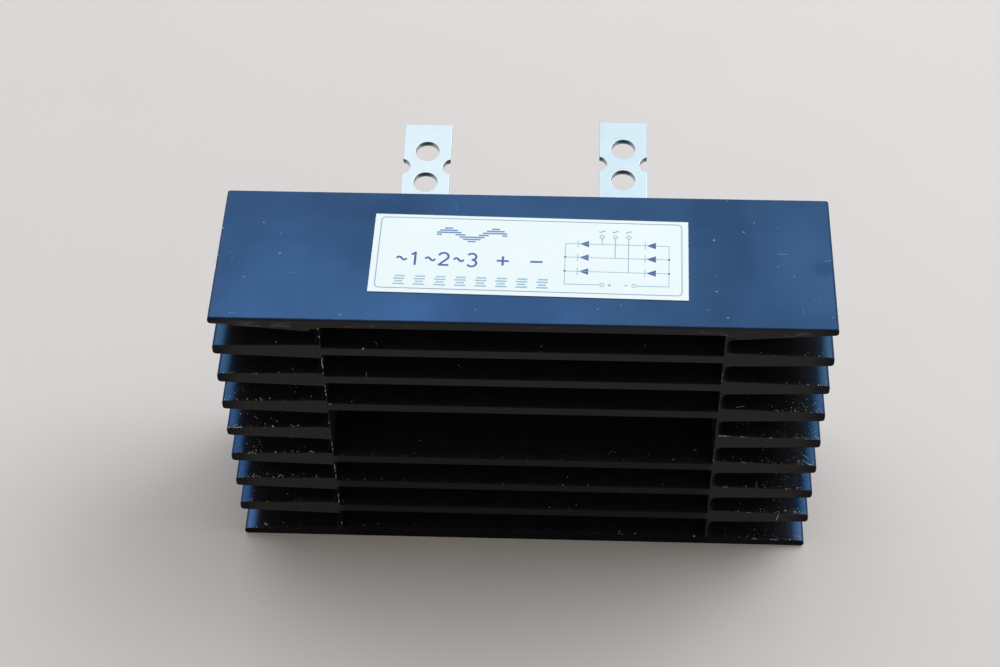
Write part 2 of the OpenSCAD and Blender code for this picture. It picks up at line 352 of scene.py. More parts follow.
# Painted slate reflection of a blue sky on the faces that the light reaches, with a painted highlight at the
# plate's front. It is darker in patches that are partly smudges and partly a painted dimmer reflection,
# darker on the outer ends, and in painted shade underneath and lower down the tips.
def paintedSheenTone(tree, m):
    v, spot = anodising, m["spot"]
    # the plate's painted reflection is a little lighter on the left
    plate = toned(tree, m["leftward"], v["plate"])
    plate = blend(tree, around(tree, spot, *v["paintedHighlight"]), plate, colour(v["paintedHighlightTone"]))
    # the tips' painted reflection darkens lower down as painted shade, with a tone of its own on the bottom
    # plate
    downward, onBottom = span(tree, "downward", spot["Z"]), span(tree, "bottomTip", spot["Z"])
    tips = []
    for high, low, bottom in (v["rightTips"], v["leftTips"]):
        tips.append(blend(tree, onBottom, toned(tree, downward, (high, low)), colour(bottom)))
    sheen = blend(tree, m["onTop"], blend(tree, m["leftward"], *tips), plate)
    # darker patches, partly smudges and partly a painted dimmer reflection
    smudgeAndDim = maths(tree, "ADD", *(around(tree, spot, *place) for place in v["smudgesAndDimReflection"]))
    clouds = span(tree, "clouds", noise(tree, m["where"], 26, detail=3))
    smudgeAndDim = maths(tree, "ADD", product(tree, smudgeAndDim, v["smudgeAndDimShare"]), clouds)
    smudgeAndDim = product(tree, smudgeAndDim, v["smudgeAndDimDepth"], clamp=True)
    sheen = blend(tree, product(tree, smudgeAndDim, m["onTop"]), sheen, colour(v["smudgeAndDimTone"]))
    return blend(tree, m["shaded"], sheen, colour(v["shade"]))


# The ends of the webs between the plates, a third as dark on the right as on the left
def webEnds(tree, m):
    fromMiddle = maths(tree, "SUBTRACT", m["spot"]["Z"], sink["firstMiddle"])
    rise = maths(tree, "PINGPONG", fromMiddle, sink["pitch"] / 2)
    depth = between(tree, span(tree, "leftHalf", m["spot"]["X"]), *anodising["webShares"])
    return product(tree, span(tree, "webOutside", m["away"]), span(tree, "webInside", m["away"]),
                   span(tree, "betweenPlates", rise, sink["finRoot"] / 2), m["frontHalf"], depth)


# Scuffs where the saw left the upper plate's lower edge rough, most of them on the left
def edgeScuffs(tree, m):
    spot = m["spot"]
    leftMore = product(tree, span(tree, "scuffsLeft", spot["X"]), anodising["scuffsLeft"])
    rough = maths(tree, "ADD", noise(tree, places(tree, (0.3, 1, 1.2)), 1.3, detail=4), leftMore)
    return product(tree, span(tree, "scuffs", rough), span(tree, "scuffsAbove", spot["Z"]),
                   span(tree, "scuffsBelow", spot["Z"]), m["frontHalf"])


# Tone of the saw-cut ends: a grain of two greys under darker and lighter layers: painted shade low in the
# middle, on the bottom plate and near the fins' tips, a painted dark reflection along the top plate's upper
# edge, dark web ends, and lighter scuffs
def cutTone(tree, m, sawGrain):
    high, away = m["spot"]["Z"], m["away"]
    masks = dict(lowMiddleShade=product(tree, span(tree, "inMiddle", away), span(tree, "lowDown", high)),
                 bottomPlateShade=span(tree, "bottomPlateShade", high), finTipShade=span(tree, "finTipShade", away),
                 upperEdgeReflection=span(tree, "upperEdgeReflection", high, sink["height"]), webs=webEnds(tree, m),
                 scuffs=edgeScuffs(tree, m))
    tone = toned(tree, sawGrain, anodising["cut"])
    for name, mask in masks.items():
        share, layer = anodising["layers"][name]
        tone = blend(tree, product(tree, mask, share), tone, colour(layer))
    return tone


# Dust on what looks up inside the gaps: specks that are thicker in patches
def gapDust(tree, m):
    patches = span(tree, "dustPatches", noise(tree, m["where"], 7, detail=2))
    return product(tree, specks(tree, m["where"], 0.9, 0.08, 0.12), patches, m["facingUp"],
                   span(tree, "underPlate", m["spot"]["Z"]))


# A faint pale haze between the specks: partly dust, and partly painted light that lifts the gaps' painted
# shade
def gapHazeAndPaintedLight(tree, m):
    clouds = span(tree, "hazeAndPaintedLight", noise(tree, m["where"], 3.5, detail=5, roughness=0.7))
    return product(tree, clouds, m["facingUp"], uncovered(tree, m["outsideGapShade"]), anodising["hazeAndPaintedLight"])


# Black dyed aluminium: the open faces are satin, with a painted slate-blue sky reflection in their colour,
# and the saw cuts are dull and neutral
def anodised(tree):
    v, m = anodising, sinkMasks(tree)
    sawn, dusty = m["sawn"], gapDust(tree, m)
    grain = noise(tree, places(tree, (1, 0.04, 1)), 0.5, detail=3)
    sawGrain = noise(tree, places(tree, (0.25, 1, 1)), 0.35, detail=3)
    # painted shade in the gaps, and the painted sheen outside them
    drawn = blend(tree, m["outsideGapShade"], colour(v["gaps"]), paintedSheenTone(tree, m))
    drawn = blend(tree, m["paintedLipSheen"], drawn, toned(tree, m["leftward"], v["paintedLipSheen"]))
    surface = blend(tree, sawn, drawn, cutTone(tree, m, sawGrain))
    surface = blend(tree, gapHazeAndPaintedLight(tree, m), surface, colour(v["hazeAndPaintedLightTone"]))
    surface = blend(tree, dusty, surface, colour(v["dustTone"]))
    sheen = maths(tree, "MAXIMUM", m["outsideGapShade"], product(tree, m["facingUp"], v["gapSheen"]))
    metal = product(tree, uncovered(tree, sawn), uncovered(tree, dusty), sheen, uncovered(tree, m["paintedLipSheen"]))
    satin = between(tree, noise(tree, m["where"], 11, detail=4, roughness=0.6), *v["satin"])
    rough = between(tree, maths(tree, "MAXIMUM", sawn, dusty), satin, v["cutRough"])
    return {"Base Color": surface, "Metallic": metal, "Roughness": rough, "Specular IOR Level": 0.0,
            "Normal": bump(tree, between(tree, sawn, grain, sawGrain), v["relief"])}


# The finishes of the other pieces
vinyl = dict(tones=("#ecfbff", "#f2feff", 9, 3), rough=(0.32, 0.42, 3), relief=(0.004, 1.2),
             even={"Specular IOR Level": 0.3})
tin = dict(tones=("#a4b0b6", "#adb9be", 3.5, 3), rough=(0.28, 0.42, 1.5, 4), relief=(0.004, 0.4, 3),
           even={"Metallic": 1.0}, rightTones=("#9babb2", "#a4b3ba"), turnsRight=(-15, 15))
resin = dict(tones=("#0e0e0f", "#161618", 1.8, 3), rough=(0.25, 0.42, 6, 3), relief=(0.03, 5),
             even={"Specular IOR Level": 0.35}, dust=(1.3, 0.09, 0.22), dustTone="#77797c",
             dustPatches=(13, 3), dustFrom=(0.5, 0.66))
copper = dict(tones=("#b06a3c", "#c98a5b", 4, 4), rough=(0.3, 0.45, 2), relief=(0.004, 0.3),
              even={"Metallic": 1.0}, drawn=(0.1, 1, 1))
platePaint = dict(tones=("#0c0d10", "#16181c", 2.5, 4), rough=(0.4, 0.55, 5, 3), relief=(0.006, 0.5, 3),
                  even={"Specular IOR Level": 0.2})
alumina = dict(tones=("#e4e0d6", "#f0ede5", 1.5, 4), relief=(0.005, 0.2, 3), even={"Roughness": 0.55})
silicon = dict(tones=("#5d6269", "#777d86", 2, 3), rough=(0.25, 0.4, 1), even={"Metallic": 1.0})


# The tin is a little darker towards the right
def towardsRight(tree, where, tone):
    rightTone = toned(tree, noise(tree, where, *tin["tones"][2:]), tin["rightTones"])
    return blend(tree, ramp(tree, apart(tree, where)["X"], *tin["turnsRight"]), tone, rightTone)


# The resin holds specks of dust in patches
def dustyResin(tree, where, tone):
    patches = ramp(tree, noise(tree, where, *resin["dustPatches"]), *resin["dustFrom"])
    dusty = product(tree, specks(tree, where, *resin["dust"]), patches)
    return blend(tree, dusty, tone, colour(resin["dustTone"]))


finishes = dict(
    heat_sink=finish("black_anodising", anodised), rating_label=mottled("white_vinyl", vinyl),
    tin=mottled("tin_plate", tin, towardsRight), potting=mottled("black_epoxy", resin, dustyResin),
    copper=mottled("copper_sheet", copper), base_plate=mottled("black_base_plate", platePaint),
    alumina=mottled("alumina_ceramic", alumina), silicon=mottled("silicon_pellet", silicon))
families = dict(terminal="tin", positive="copper", negative="copper", ac="copper", insulator="alumina",
                diode="silicon")
for name, node in nodes.items():
    key = name if name in finishes else families[name.split("_")[0]]
    node.data.materials.clear()
    node.data.materials.append(finishes[key])

# widths of the broken edges by the start of a node's name; closer points are joined, faces that turn less
# than sameFace are one face, and edges that turn more than sharp are broken
softEdges = dict(widths=dict(heat_sink=0.14, terminal=0.12), segments=2, joinWithin=0.001, sameFace=1,
                 sharp=35)


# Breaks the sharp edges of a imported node, whose own vertices stay as they are
def softenEdges(node, width, v):
    weld = node.modifiers.new("join", "WELD")
    weld.merge_threshold = v["joinWithin"] * mm
    flat = node.modifiers.new("whole_faces", "DECIMATE")
    flat.decimate_type = "DISSOLVE"
    flat.angle_limit = math.radians(v["sameFace"])
    edges = node.modifiers.new("broken_edges", "BEVEL")
    edges.width = width * mm
    edges.segments = v["segments"]
    edges.limit_method = "ANGLE"
    edges.angle_limit = math.radians(v["sharp"])


for start, width in softEdges["widths"].items():
    for name, node in nodes.items():
        if name.startswith(start):
            softenEdges(node, width, softEdges)
print("finishes on the packed nodes")

# The label, and its print as raised ink
label = dict(length=64.2, depth=21.3, turn=-0.8, inkUnder=0.01, inkOver=0.02, layer=0.001)
labelLow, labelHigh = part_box("rating_label")
labelMiddle = np.array((labelLow + labelHigh) / 2) / mm
labelMiddle[2] = labelHigh.z / mm


# From the label's own millimetres, x along it and y up it, to the block's
def onLabel(flat, z=0.0):
    turn = math.radians(label["turn"])
    x = flat[:, 0] * math.cos(turn) - flat[:, 1] * math.sin(turn)
    y = flat[:, 0] * math.sin(turn) + flat[:, 1] * math.cos(turn)
    return labelMiddle + np.stack([x, y, np.full(len(flat), z)], 1)


# Lifts the top of each shape a layer above the one before, so that crossing lines do not share a face
def layered(shapes):
    lifted = []
    for k, (points, faces) in enumerate(shapes):
        raised = points.copy()
        raised[:, 2] += np.where(points[:, 2] > labelMiddle[2], label["layer"] * k, 0.0)
        lifted.append((raised, faces))
    return together(lifted)


# A printed line: the path widened to both sides by half its width, which may change along it
def stroke(path, width, ring=False):
    path = np.asarray(path, float)
    width = np.broadcast_to(np.asarray(width, float), (len(path),))
    along = unit(np.roll(path, -1, 0) - np.roll(path, 1, 0) if ring else np.gradient(path, axis=0))
    side = np.stack([-along[:, 1], along[:, 0]], 1) * width[:, None] / 2
    across = onLabel(path + side) - onLabel(path)
    up = np.tile([0.0, 0.0, 1.0], (len(path), 1))
    low, high = -label["inkUnder"], label["inkOver"]
    return carried(onLabel(path), across, up, [(-1, low), (1, low), (1, high), (-1, high)], ring)


# A straight line of one width
def line(x0, y0, x1, y1, width):
    return stroke([(x0, y0), (x1, y1)], width)


# Points at the radius times the cosine and the sine of even steps of angle
def arc(x, y, radius, start, end, count=16):
    angle = np.radians(np.linspace(start, end, count))
    return np.stack([x + radius * np.cos(angle), y + radius * np.sin(angle)], 1)


# A ring: an arc that stops one step before it would meet its start, and is joined there
def circle(x, y, radius, width, count=16):
    return stroke(arc(x, y, radius, 0, 360 - 360 / count, count), width, ring=True)


# A filled dot: a short line whose width is that of the circle at each point
def dot(x, y, radius, end=0.15, count=9):
    angle = np.linspace(end, math.pi - end, count)
    path = np.stack([x - radius * np.cos(angle), np.full(count, y)], 1)
    return stroke(path, 2 * radius * np.sin(angle))


# A filled arrowhead that points left, widening evenly from its tip
def arrowhead(x, y, length, height, tip=0.05):
    return stroke([(x, y), (x + length, y)], [tip, height])


# ink, which lets a share of the white through in small worn patches
inkValues = dict(white=0.25, patches=(0.6, 3), wornFrom=(0.58, 0.75),
                 even={"Roughness": 0.4, "Specular IOR Level": 0.3})


def ink(code, v=inkValues):
    def sockets(tree):
        light = tuple((1 - v["white"]) * c + v["white"] for c in colour(code)[:3]) + (1,)
        worn = ramp(tree, noise(tree, places(tree), *v["patches"]), *v["wornFrom"])
        return {"Base Color": blend(tree, worn, colour(code), light), **v["even"]}
    return finish("ink_" + code[1:], sockets)


border = dict(left=-30.8, right=30.8, low=-9.5, high=9.8, radius=0.9, width=0.17)


# Four quarter circles, which the closed line joins into a frame
def roundedFrame(b):
    r = b["radius"]
    corners = [(b["right"] - r, b["high"] - r, 0), (b["left"] + r, b["high"] - r, 90),
               (b["left"] + r, b["low"] + r, 180), (b["right"] - r, b["low"] + r, 270)]
    return np.concatenate([arc(x, y, r, start, start + 90, 8) for x, y, start in corners])


addPiece("label_border", stroke(roundedFrame(border), border["width"], ring=True), ink("#7e9db8"))

# bridge circuit: two buses, three rows of two diodes, three leads above and two below
circuit = dict(left=7.2, right=28.2, rows=(3.8, 0.1, -3.7), bottom=-7.2, leads=(14.6, 17.3, 20.0),
               leadTop=5.9, barLeft=9.75, barRight=23.35, arrowGap=0.35, arrow=(1.85, 1.75), barHeight=1.9,
               ring=0.42, lineWidth=0.13, leadWidth=0.17, dotRadius=0.24, ends=(14.8, 21.2), plus=16.3,
               minus=19.6, signHalf=0.35, signWidth=0.2, waveHalf=0.6, waveHigh=0.2, waveOver=1.45)


# The thin parts: straight lines, rings at the open ends, and one period of a sine over each upper lead
def circuitLines(c):
    left, right, low, w, r = c["left"], c["right"], c["bottom"], c["lineWidth"], c["ring"]
    shapes = [line(x, c["rows"][0] + w / 2, x, low - w / 2, w) for x in (left, right)]
    shapes += [line(left, y, right, y, w) for y in c["rows"]]
    shapes += [line(x, c["leadTop"] - r, x, y, c["leadWidth"]) for x, y in zip(c["leads"], c["rows"])]
    shapes += [circle(x, c["leadTop"], r, c["leadWidth"]) for x in c["leads"]]
    shapes += [line(x, y - c["barHeight"] / 2, x, y + c["barHeight"] / 2, w)
               for x in (c["barLeft"], c["barRight"]) for y in c["rows"]]
    shapes += [line(left, low, c["ends"][0] - r, low, w), line(c["ends"][1] + r, low, right, low, w)]
    shapes += [circle(x, low, r, w) for x in c["ends"]]
    sign, thick = c["signHalf"], c["signWidth"]
    shapes += [line(c["plus"] - sign, low, c["plus"] + sign, low, thick),
               line(c["plus"], low - sign, c["plus"], low + sign, thick),
               line(c["minus"] - sign, low, c["minus"] + sign, low, thick)]
    x = np.linspace(-c["waveHalf"], c["waveHalf"], 13)
    height = c["leadTop"] + c["waveOver"] + c["waveHigh"] * np.sin(x * math.pi / c["waveHalf"])
    shapes += [stroke(np.stack([x + lead, height], 1), thick) for lead in c["leads"]]
    return layered(shapes)


# The filled parts: an arrowhead beside each bar, and a dot at each joint of the two lower rows
def circuitFills(c):
    length, height = c["arrow"]
    shapes = [arrowhead(x + c["arrowGap"], y, length, height)
              for x in (c["barLeft"], c["barRight"]) for y in c["rows"]]
    shapes += [dot(x, y, c["dotRadius"]) for x in (c["left"], c["right"]) for y in c["rows"][1:]]
    return layered(shapes)


addPiece("label_circuit", circuitLines(circuit), ink("#8fb8cf"))
addPiece("label_diodes", circuitFills(circuit), ink("#41639f"))

waves = dict(left=-19.2, right=-4.8, low=3.4, high=7.3, stripes=7, periods=1.5, band=1.5, stripe=0.34,
             samples=400, fewest=26)


# Level stripes, each kept where it is less than half the band from a sine curve for enough samples in a row
def stripedWave(w):
    x = np.linspace(w["left"], w["right"], w["samples"])
    middle, reach = (w["low"] + w["high"]) / 2, (w["high"] - w["low"] - w["band"]) / 2
    curve = middle + reach * np.sin(2 * math.pi * w["periods"] * (x - w["left"]) / (w["right"] - w["left"]))
    shapes = []
    for y in np.linspace(w["low"] + w["stripe"] / 2, w["high"] - w["stripe"] / 2, w["stripes"]):
        inside = np.abs(y - curve) < w["band"] / 2
        step = np.flatnonzero(np.diff(np.concatenate([[0], inside.astype(int), [0]])))
        shapes += [line(x[a], y, x[b - 1], y, w["stripe"])
                   for a, b in zip(step[::2], step[1::2]) if b - a > w["fewest"]]
    return layered(shapes)


addPiece("label_wave", stripedWave(waves), ink("#5d8cc0"))

# terminal signs in one bold row, and a row of eight plain marks below it
signs = dict(low=-3.25, height=3.5, width=0.46, text="~1~2~3+-", waveLong=0.58, waveHigh=0.12,
             places=(-26.9, -24.2, -21.1, -18.4, -15.3, -12.6, -6.6, 0.2))


# Each sign is a few lines and arcs, given as shares of the row's height; the wave is one period of a sine
def signStrokes(s):
    x = np.linspace(0, s["waveLong"], 15)
    wave = np.stack([x, 0.5 + s["waveHigh"] * np.sin(x * 2 * math.pi / s["waveLong"])], 1)
    forms = {
        "~": [wave],
        "1": [[(0.08, 0.8), (0.34, 1)], [(0.3, 1), (0.3, 0)]],
        "2": [np.concatenate([arc(0.29, 0.72, 0.28, 165, -35), [(0.02, 0.06)]]),
              [(0, 0.06), (0.6, 0.06)]],
        "3": [arc(0.27, 0.75, 0.25, 150, -90), arc(0.27, 0.27, 0.27, 90, -150)],
        "+": [[(0, 0.5), (0.7, 0.5)], [(0.35, 0.15), (0.35, 0.85)]],
        "-": [[(0, 0.5), (0.7, 0.5)]],
    }
    return layered([stroke(np.asarray(path) * s["height"] + [left, s["low"]], s["width"])
                    for left, sign in zip(s["places"], s["text"]) for path in forms[sign]])


addPiece("label_signs", signStrokes(signs), ink("#3f62a8"))

marks = dict(first=-27.2, pitch=4.12, count=8, width=2.3, low=-8.4, rows=4, step=0.72, line=0.3, indent=0.3,
             short=0.35)


# Each mark is a stack of level lines: every second one starts further in, and every third ends earlier
def markRows(m):
    shapes = []
    for left in m["first"] + m["pitch"] * np.arange(m["count"]):
        for k in range(m["rows"]):
            y = m["low"] + k * m["step"]
            shapes.append(line(left + m["indent"] * (k % 2), y,
                               left + m["width"] - m["short"] * (k % 3 == 1), y, m["line"]))
    return layered(shapes)


addPiece("label_marks", markRows(marks), ink("#9cc4df"))
print("label print")

# The potting resin, drawn up where it wets the pocket's walls and the terminals
pool = dict(rise=0.42, reach=0.9, swell=0.03, swellBase=1.2, waveX=9, waveZ=7, inset=0.02, under=0.05,
            spacing=1.2, close=(0.04, 0.15, 0.32, 0.55, 0.85, 1.3, 1.9))
resinLow, resinHigh = (np.array(corner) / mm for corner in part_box("potting"))
pool.update(face=resinHigh[1], halfWidth=resinHigh[0] - pool["inset"], low=resinLow[2] + pool["inset"],
            high=resinHigh[2] - pool["inset"])


# The middle and the size of each terminal, as seen along its own length
def tabPlaces():
    boxes = [np.array(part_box(name)) / mm for name in sorted(nodes) if name.startswith("terminal")]
    return [((low[0] + high[0]) / 2, (low[2] + high[2]) / 2, high[0] - low[0], high[2] - low[2])
            for low, high in boxes]


# Sample places along one way: an even spacing, with more of them close to each edge
def samples(low, high, edges, p):
    near = np.concatenate([np.negative(p["close"]), [0], p["close"]])
    close = (np.array(edges)[:, None] + near).ravel()
    every = np.concatenate([np.linspace(low, high, int((high - low) / p["spacing"])), close])
    return np.unique(np.round(np.clip(every, low, high), 3))


# The resin's face is level and swells a little in slow waves, plus a rise that falls off exponentially with
# the distance to the nearest wall or terminal
def resinFace(p):
    tabs = tabPlaces()
    half = p["halfWidth"]
    edgesX = [-half, half] + [x + s * wide / 2 for x, _, wide, _ in tabs for s in (-1, 1)]
    edgesZ = [p["low"], p["high"]] + [z + s * thick / 2 for _, z, _, thick in tabs for s in (-1, 1)]
    x, z = np.meshgrid(samples(-half, half, edgesX, p), samples(p["low"], p["high"], edgesZ, p))
    gap = np.minimum(half - np.abs(x), np.minimum(z - p["low"], p["high"] - z))
    for tabX, tabZ, wide, thick in tabs:
        outX = np.maximum(np.abs(x - tabX) - wide / 2, 0)
        outZ = np.maximum(np.abs(z - tabZ) - thick / 2, 0)
        gap = np.minimum(gap, np.hypot(outX, outZ))
    swell = p["swell"] * (p["swellBase"] + np.sin(x / p["waveX"]) * np.sin(z / p["waveZ"] + 1))
    y = p["face"] + swell + p["rise"] * np.exp(-gap / p["reach"])
    top = np.stack([x, y, z], -1)
    under = np.stack([x, np.full_like(x, p["face"] - p["under"]), z], -1)
    return slab(top, under)


addPiece("potting_face", resinFace(pool), finishes["potting"], smooth=True)
print("resin")


# Grains as eight-faced crystals: each has six points on three axes that are turned at random, at half to all
# of its size from its place, and flat is how much of its height is left
def grains(places, sizes, rng, flat=1.0):
    count = len(places)
    axes = rng.normal(size=(count, 3, 3))
    axes[:, 0] = unit(axes[:, 0])
    axes[:, 1] = unit(np.cross(axes[:, 0], axes[:, 1]))
    axes[:, 2] = np.cross(axes[:, 0], axes[:, 1])
    axes *= sizes[:, None, None] * rng.uniform(0.5, 1.0, (count, 3, 1))
    axes[:, :, 2] *= flat
    points = (places[:, None] + np.concatenate([axes, -axes], 1)).reshape(-1, 3)
    one = np.array([[0, 1, 2], [1, 3, 2], [3, 4, 2], [4, 0, 2], [1, 0, 5], [3, 1, 5], [4, 3, 5], [0, 4, 5]])
    faces = (one[None] + 6 * np.arange(count)[:, None, None]).reshape(-1, 3)
    return outwards(points, faces)


# Dust: how many grains lie on each level, from the top down, left, right and between the webs; grouped,
# atEdge and anywhere are shares of them
dustFall = dict(
    seed=5, smallest=0.03, largest=0.17, leftScale=1.4, group=6, grouped=0.5, spread=0.5,
    left=(14, 36, 110, 90, 90, 95, 36, 36), right=(35, 40, 110, 170, 150, 160, 130, 130),
    middle=(14, 8, 12, 0, 60, 34, 30, 30), betweenWebs=39.8, webGap=0.3, finFrom=42.5,
    outerGap=0.2, tipGap=0.4, finSpan=20, crowding=(0.85, 1.7), atEdge=0.4, edgeReach=0.3,
    deepReach=2.8, anywhere=0.12, deepest=33, deepestMiddle=24, frontGap=0.12)


# Along x the grains crowd towards the fins' tips or lie evenly between the webs, and from the front edge
# they thin out exponentially. Those of a group lie round its first one, and the cube of a random share
# makes small ones the most common.
def dustPlaces(d, rng):
    levels = np.arange(1, sink["levels"] + 1)
    level = np.concatenate([np.repeat(levels, d[key]) for key in ("left", "right", "middle")])
    side = np.repeat([-1, 1, 0], [sum(d[key]) for key in ("left", "right", "middle")])
    count = len(level)
    half, inner = sink["width"] / 2, d["betweenWebs"] - d["webGap"]
    fromTip = d["tipGap"] + d["finSpan"] * rng.beta(*d["crowding"], count)
    x = np.where(side == 0, rng.uniform(-inner, inner, count), side * (half - fromTip))
    reach = np.where(rng.random(count) < d["atEdge"], d["edgeReach"], d["deepReach"])
    y = rng.exponential(reach)
    first = np.arange(count) // d["group"] * d["group"]
    gathered = (rng.random(count) < d["grouped"]) & (side == side[first])
    x = np.where(gathered, x[first] + rng.normal(0, d["spread"], count), x)
    y = np.where(gathered, np.abs(y[first] + rng.normal(0, d["spread"], count)), y)
    y = np.where(rng.random(count) < d["anywhere"], rng.uniform(0, d["deepest"], count), y)
    y = sink["front"] + d["frontGap"] + np.where(side == 0, np.minimum(y, d["deepestMiddle"]), y)
    onFin = side * np.clip(np.abs(x), d["finFrom"], half - d["outerGap"])
    x = np.where(side == 0, np.clip(x, -d["betweenWebs"], d["betweenWebs"]), onFin)
    size = d["smallest"] + (d["largest"] - d["smallest"]) * rng.random(count) ** 3
    size = np.where(side < 0, d["leftScale"] * size, size)
    return np.stack([x, y, finTop(level, x) + 0.5 * size], 1), size


paleDust = dict(tones=("#e9edf4", "#f7fafd", 2), even={"Roughness": 0.8, "Specular IOR Level": 0.2})
pale = mottled("pale_dust", paleDust)
rng = np.random.default_rng(dustFall["seed"])
grainPlaces, grainSizes = dustPlaces(dustFall, rng)
addPiece("dust_grains", grains(grainPlaces, grainSizes, rng), pale)

# lint: a tuft is its level, x, y and size, and a fibre is its level and three places, each as x, y and its
# height unless it is at rest
lint = dict(
    radius=0.03, count=9, rest=0.05, grainsInTuft=5, tuftLift=0.4, tuftSpread=(0.7, 0.4, 0.25),
    grainShare=0.6,
    tufts=((1, -31.8, -17.35, 0.26), (5, 36.8, -13.8, 0.24), (8, 38.1, -17.3, 0.2),
           (2, -49.8, -17.2, 0.14), (6, 59.3, -16.9, 0.17), (7, 57.6, -16.6, 0.2)),
    fibres=((6, (-53.1, -17.2), (-52.6, -16.5, 0.7), (-52, -17.4)),
            (5, (-49.5, -17.3), (-49.3, -17, 0.3), (-49, -16.8)),
            (5, (-48.4, -17), (-48.2, -17.1, 0.3), (-48, -17.3)),
            (5, (-45.6, -17.3), (-45.1, -17.1, 0.4), (-44.7, -17.4)),
            (6, (-44.9, -16.7), (-44.8, -17.1, 0.2), (-44.9, -17.4)),
            (3, (44, -16.9), (45, -16.8, 0.1), (45.8, -16.4)),
            (3, (52.4, -17.1), (52.3, -17.3, 0.3), (52.8, -17.4)),
            (5, (59.5, -16.2), (60.3, -16.8, 0.2), (61.1, -17.4)),
            (5, (59.5, -14.5), (60.2, -15.2, 0.2), (60.9, -15.9)),
            (6, (50.5, -15.7), (50.5, -16.4, 0.2), (50.3, -17.1)),
            (7, (56.1, -17.1, 0.08), (56, -17.75, 0.1), (55.6, -17.62, -2.6)),
            (1, (-29.8, -15.5), (-29.2, -15.9, 0.3), (-29.3, -16.3)),
            (2, (-32, -16.1), (-31.7, -16.8, 0.2), (-31.9, -17.4)),
            (7, (-40, -15.9), (-39.9, -16.3, 0.2), (-39.6, -16.7)),
            (5, (31.8, -16.6), (32.1, -16.5, 0.2), (32.5, -16.3))))


# A square thread: the path widened by its radius; the reference only steadies its twist
def thread(path, radius, reference=(0.31, 0.85, 0.42)):
    along = unit(np.gradient(path, axis=0))
    across = unit(np.cross(along, reference))
    return carried(path, across, np.cross(along, across), radius * square)


# Each fibre is a quadratic curve drawn towards its middle place
def fibreShapes(v):
    t = np.linspace(0, 1, v["count"])[:, None]
    shapes = []
    for level, *three in v["fibres"]:
        a, b, c = (np.array([x, y, finTop(level, x) + (h or [v["rest"]])[0]]) for x, y, *h in three)
        shapes.append(thread((1 - t) ** 2 * a + 2 * t * (1 - t) * b + t ** 2 * c, v["radius"]))
    return together(shapes)


# Each tuft is a few grains round its place, scattered in a normal way in proportion to its size
def tuftShapes(v, rng):
    tufts = np.array([(x, y, finTop(level, x) + v["tuftLift"] * size, size)
                      for level, x, y, size in v["tufts"]])
    parts = np.repeat(tufts, v["grainsInTuft"], axis=0)
    parts[:, :3] += rng.normal(0, 1, (len(parts), 3)) * parts[:, 3:] * v["tuftSpread"]
    return grains(parts[:, :3], v["grainShare"] * parts[:, 3], rng)


addPiece("lint_fibres", fibreShapes(lint), pale)
addPiece("lint_tufts", tuftShapes(lint, rng), pale)

# burrs left by the saw: down the ends of the webs, most of them on the left, and in dashes along the fins;
# a dash is its level and where it starts and ends along x
burrs = dict(
    step=0.2, web=40.52, leftShare=0.45, rightShare=0.05, dashShare=0.7, widest=0.2, narrowest=0.1,
    hair=0.03, run=3, wander=0.05, stand=0.03, dashBack=0.02,
    dashes=((4, -62.2, -59.2), (4, -54.9, -53.9), (4, 41.0, 43.5), (4, 45.6, 47.0), (4, 51.6, 52.2),
            (3, -40.2, -39.5), (6, 43.0, 44.1), (5, 46.8, 47.6), (7, 49.0, 50.2), (8, 50.9, 52.2),
            (8, 55.0, 56.6), (1, 50.2, 50.8), (5, -58.9, -57.2), (2, -55.0, -54.2)))


# A strip along a straight path that wanders at random. Its width is random in the torn runs and a hair's
# elsewhere, so that the burr looks broken off there.
def burr(start, end, share, b, rng):
    start, end = np.array(start, float), np.array(end, float)
    length = np.linalg.norm(end - start)
    count = max(3, int(length / b["step"]))
    path = start + np.linspace(0, 1, count)[:, None] * (end - start)
    across = np.array([1.0, 0, 0]) if end[0] == start[0] else np.array([0, 0, 1.0])
    torn = np.repeat(rng.random(count // b["run"] + 1) < share, b["run"])[:count]
    width = np.where(torn, rng.uniform(b["narrowest"], 1, count), b["hair"]) * b["widest"] / 2
    path = path + across * rng.normal(0, b["wander"], count)[:, None]
    up = np.tile([0.0, -b["stand"], 0.0], (count, 1))
    return carried(path, across * width[:, None], up)


# One burr up the end of each web on every level, from the plate below to the plate above, then the dashes
def burrShapes(b, rng):
    y = sink["front"]
    shapes = []
    for level in range(1, sink["levels"] + 1):
        low = finTop(level, sink["webOut"])
        high = sink["height"] - sink["topPlate"] if level == 1 else low + sink["pitch"] - sink["finRoot"]
        for side, share in ((-1, b["leftShare"]), (1, b["rightShare"])):
            shapes.append(burr((side * b["web"], y, low), (side * b["web"], y, high), share, b, rng))
    y += b["dashBack"]
    for level, x0, x1 in b["dashes"]:
        start, end = ((x, y, finTop(level, x)) for x in (x0, x1))
        shapes.append(burr(start, end, b["dashShare"], b, rng))
    return together(shapes)


bareMetal = dict(tones=("#a8a8a8", "#d6d4d0", 0.7), even={"Metallic": 0.5, "Roughness": 0.5})
addPiece("saw_burrs", burrShapes(burrs, rng), mottled("bare_metal", bareMetal))

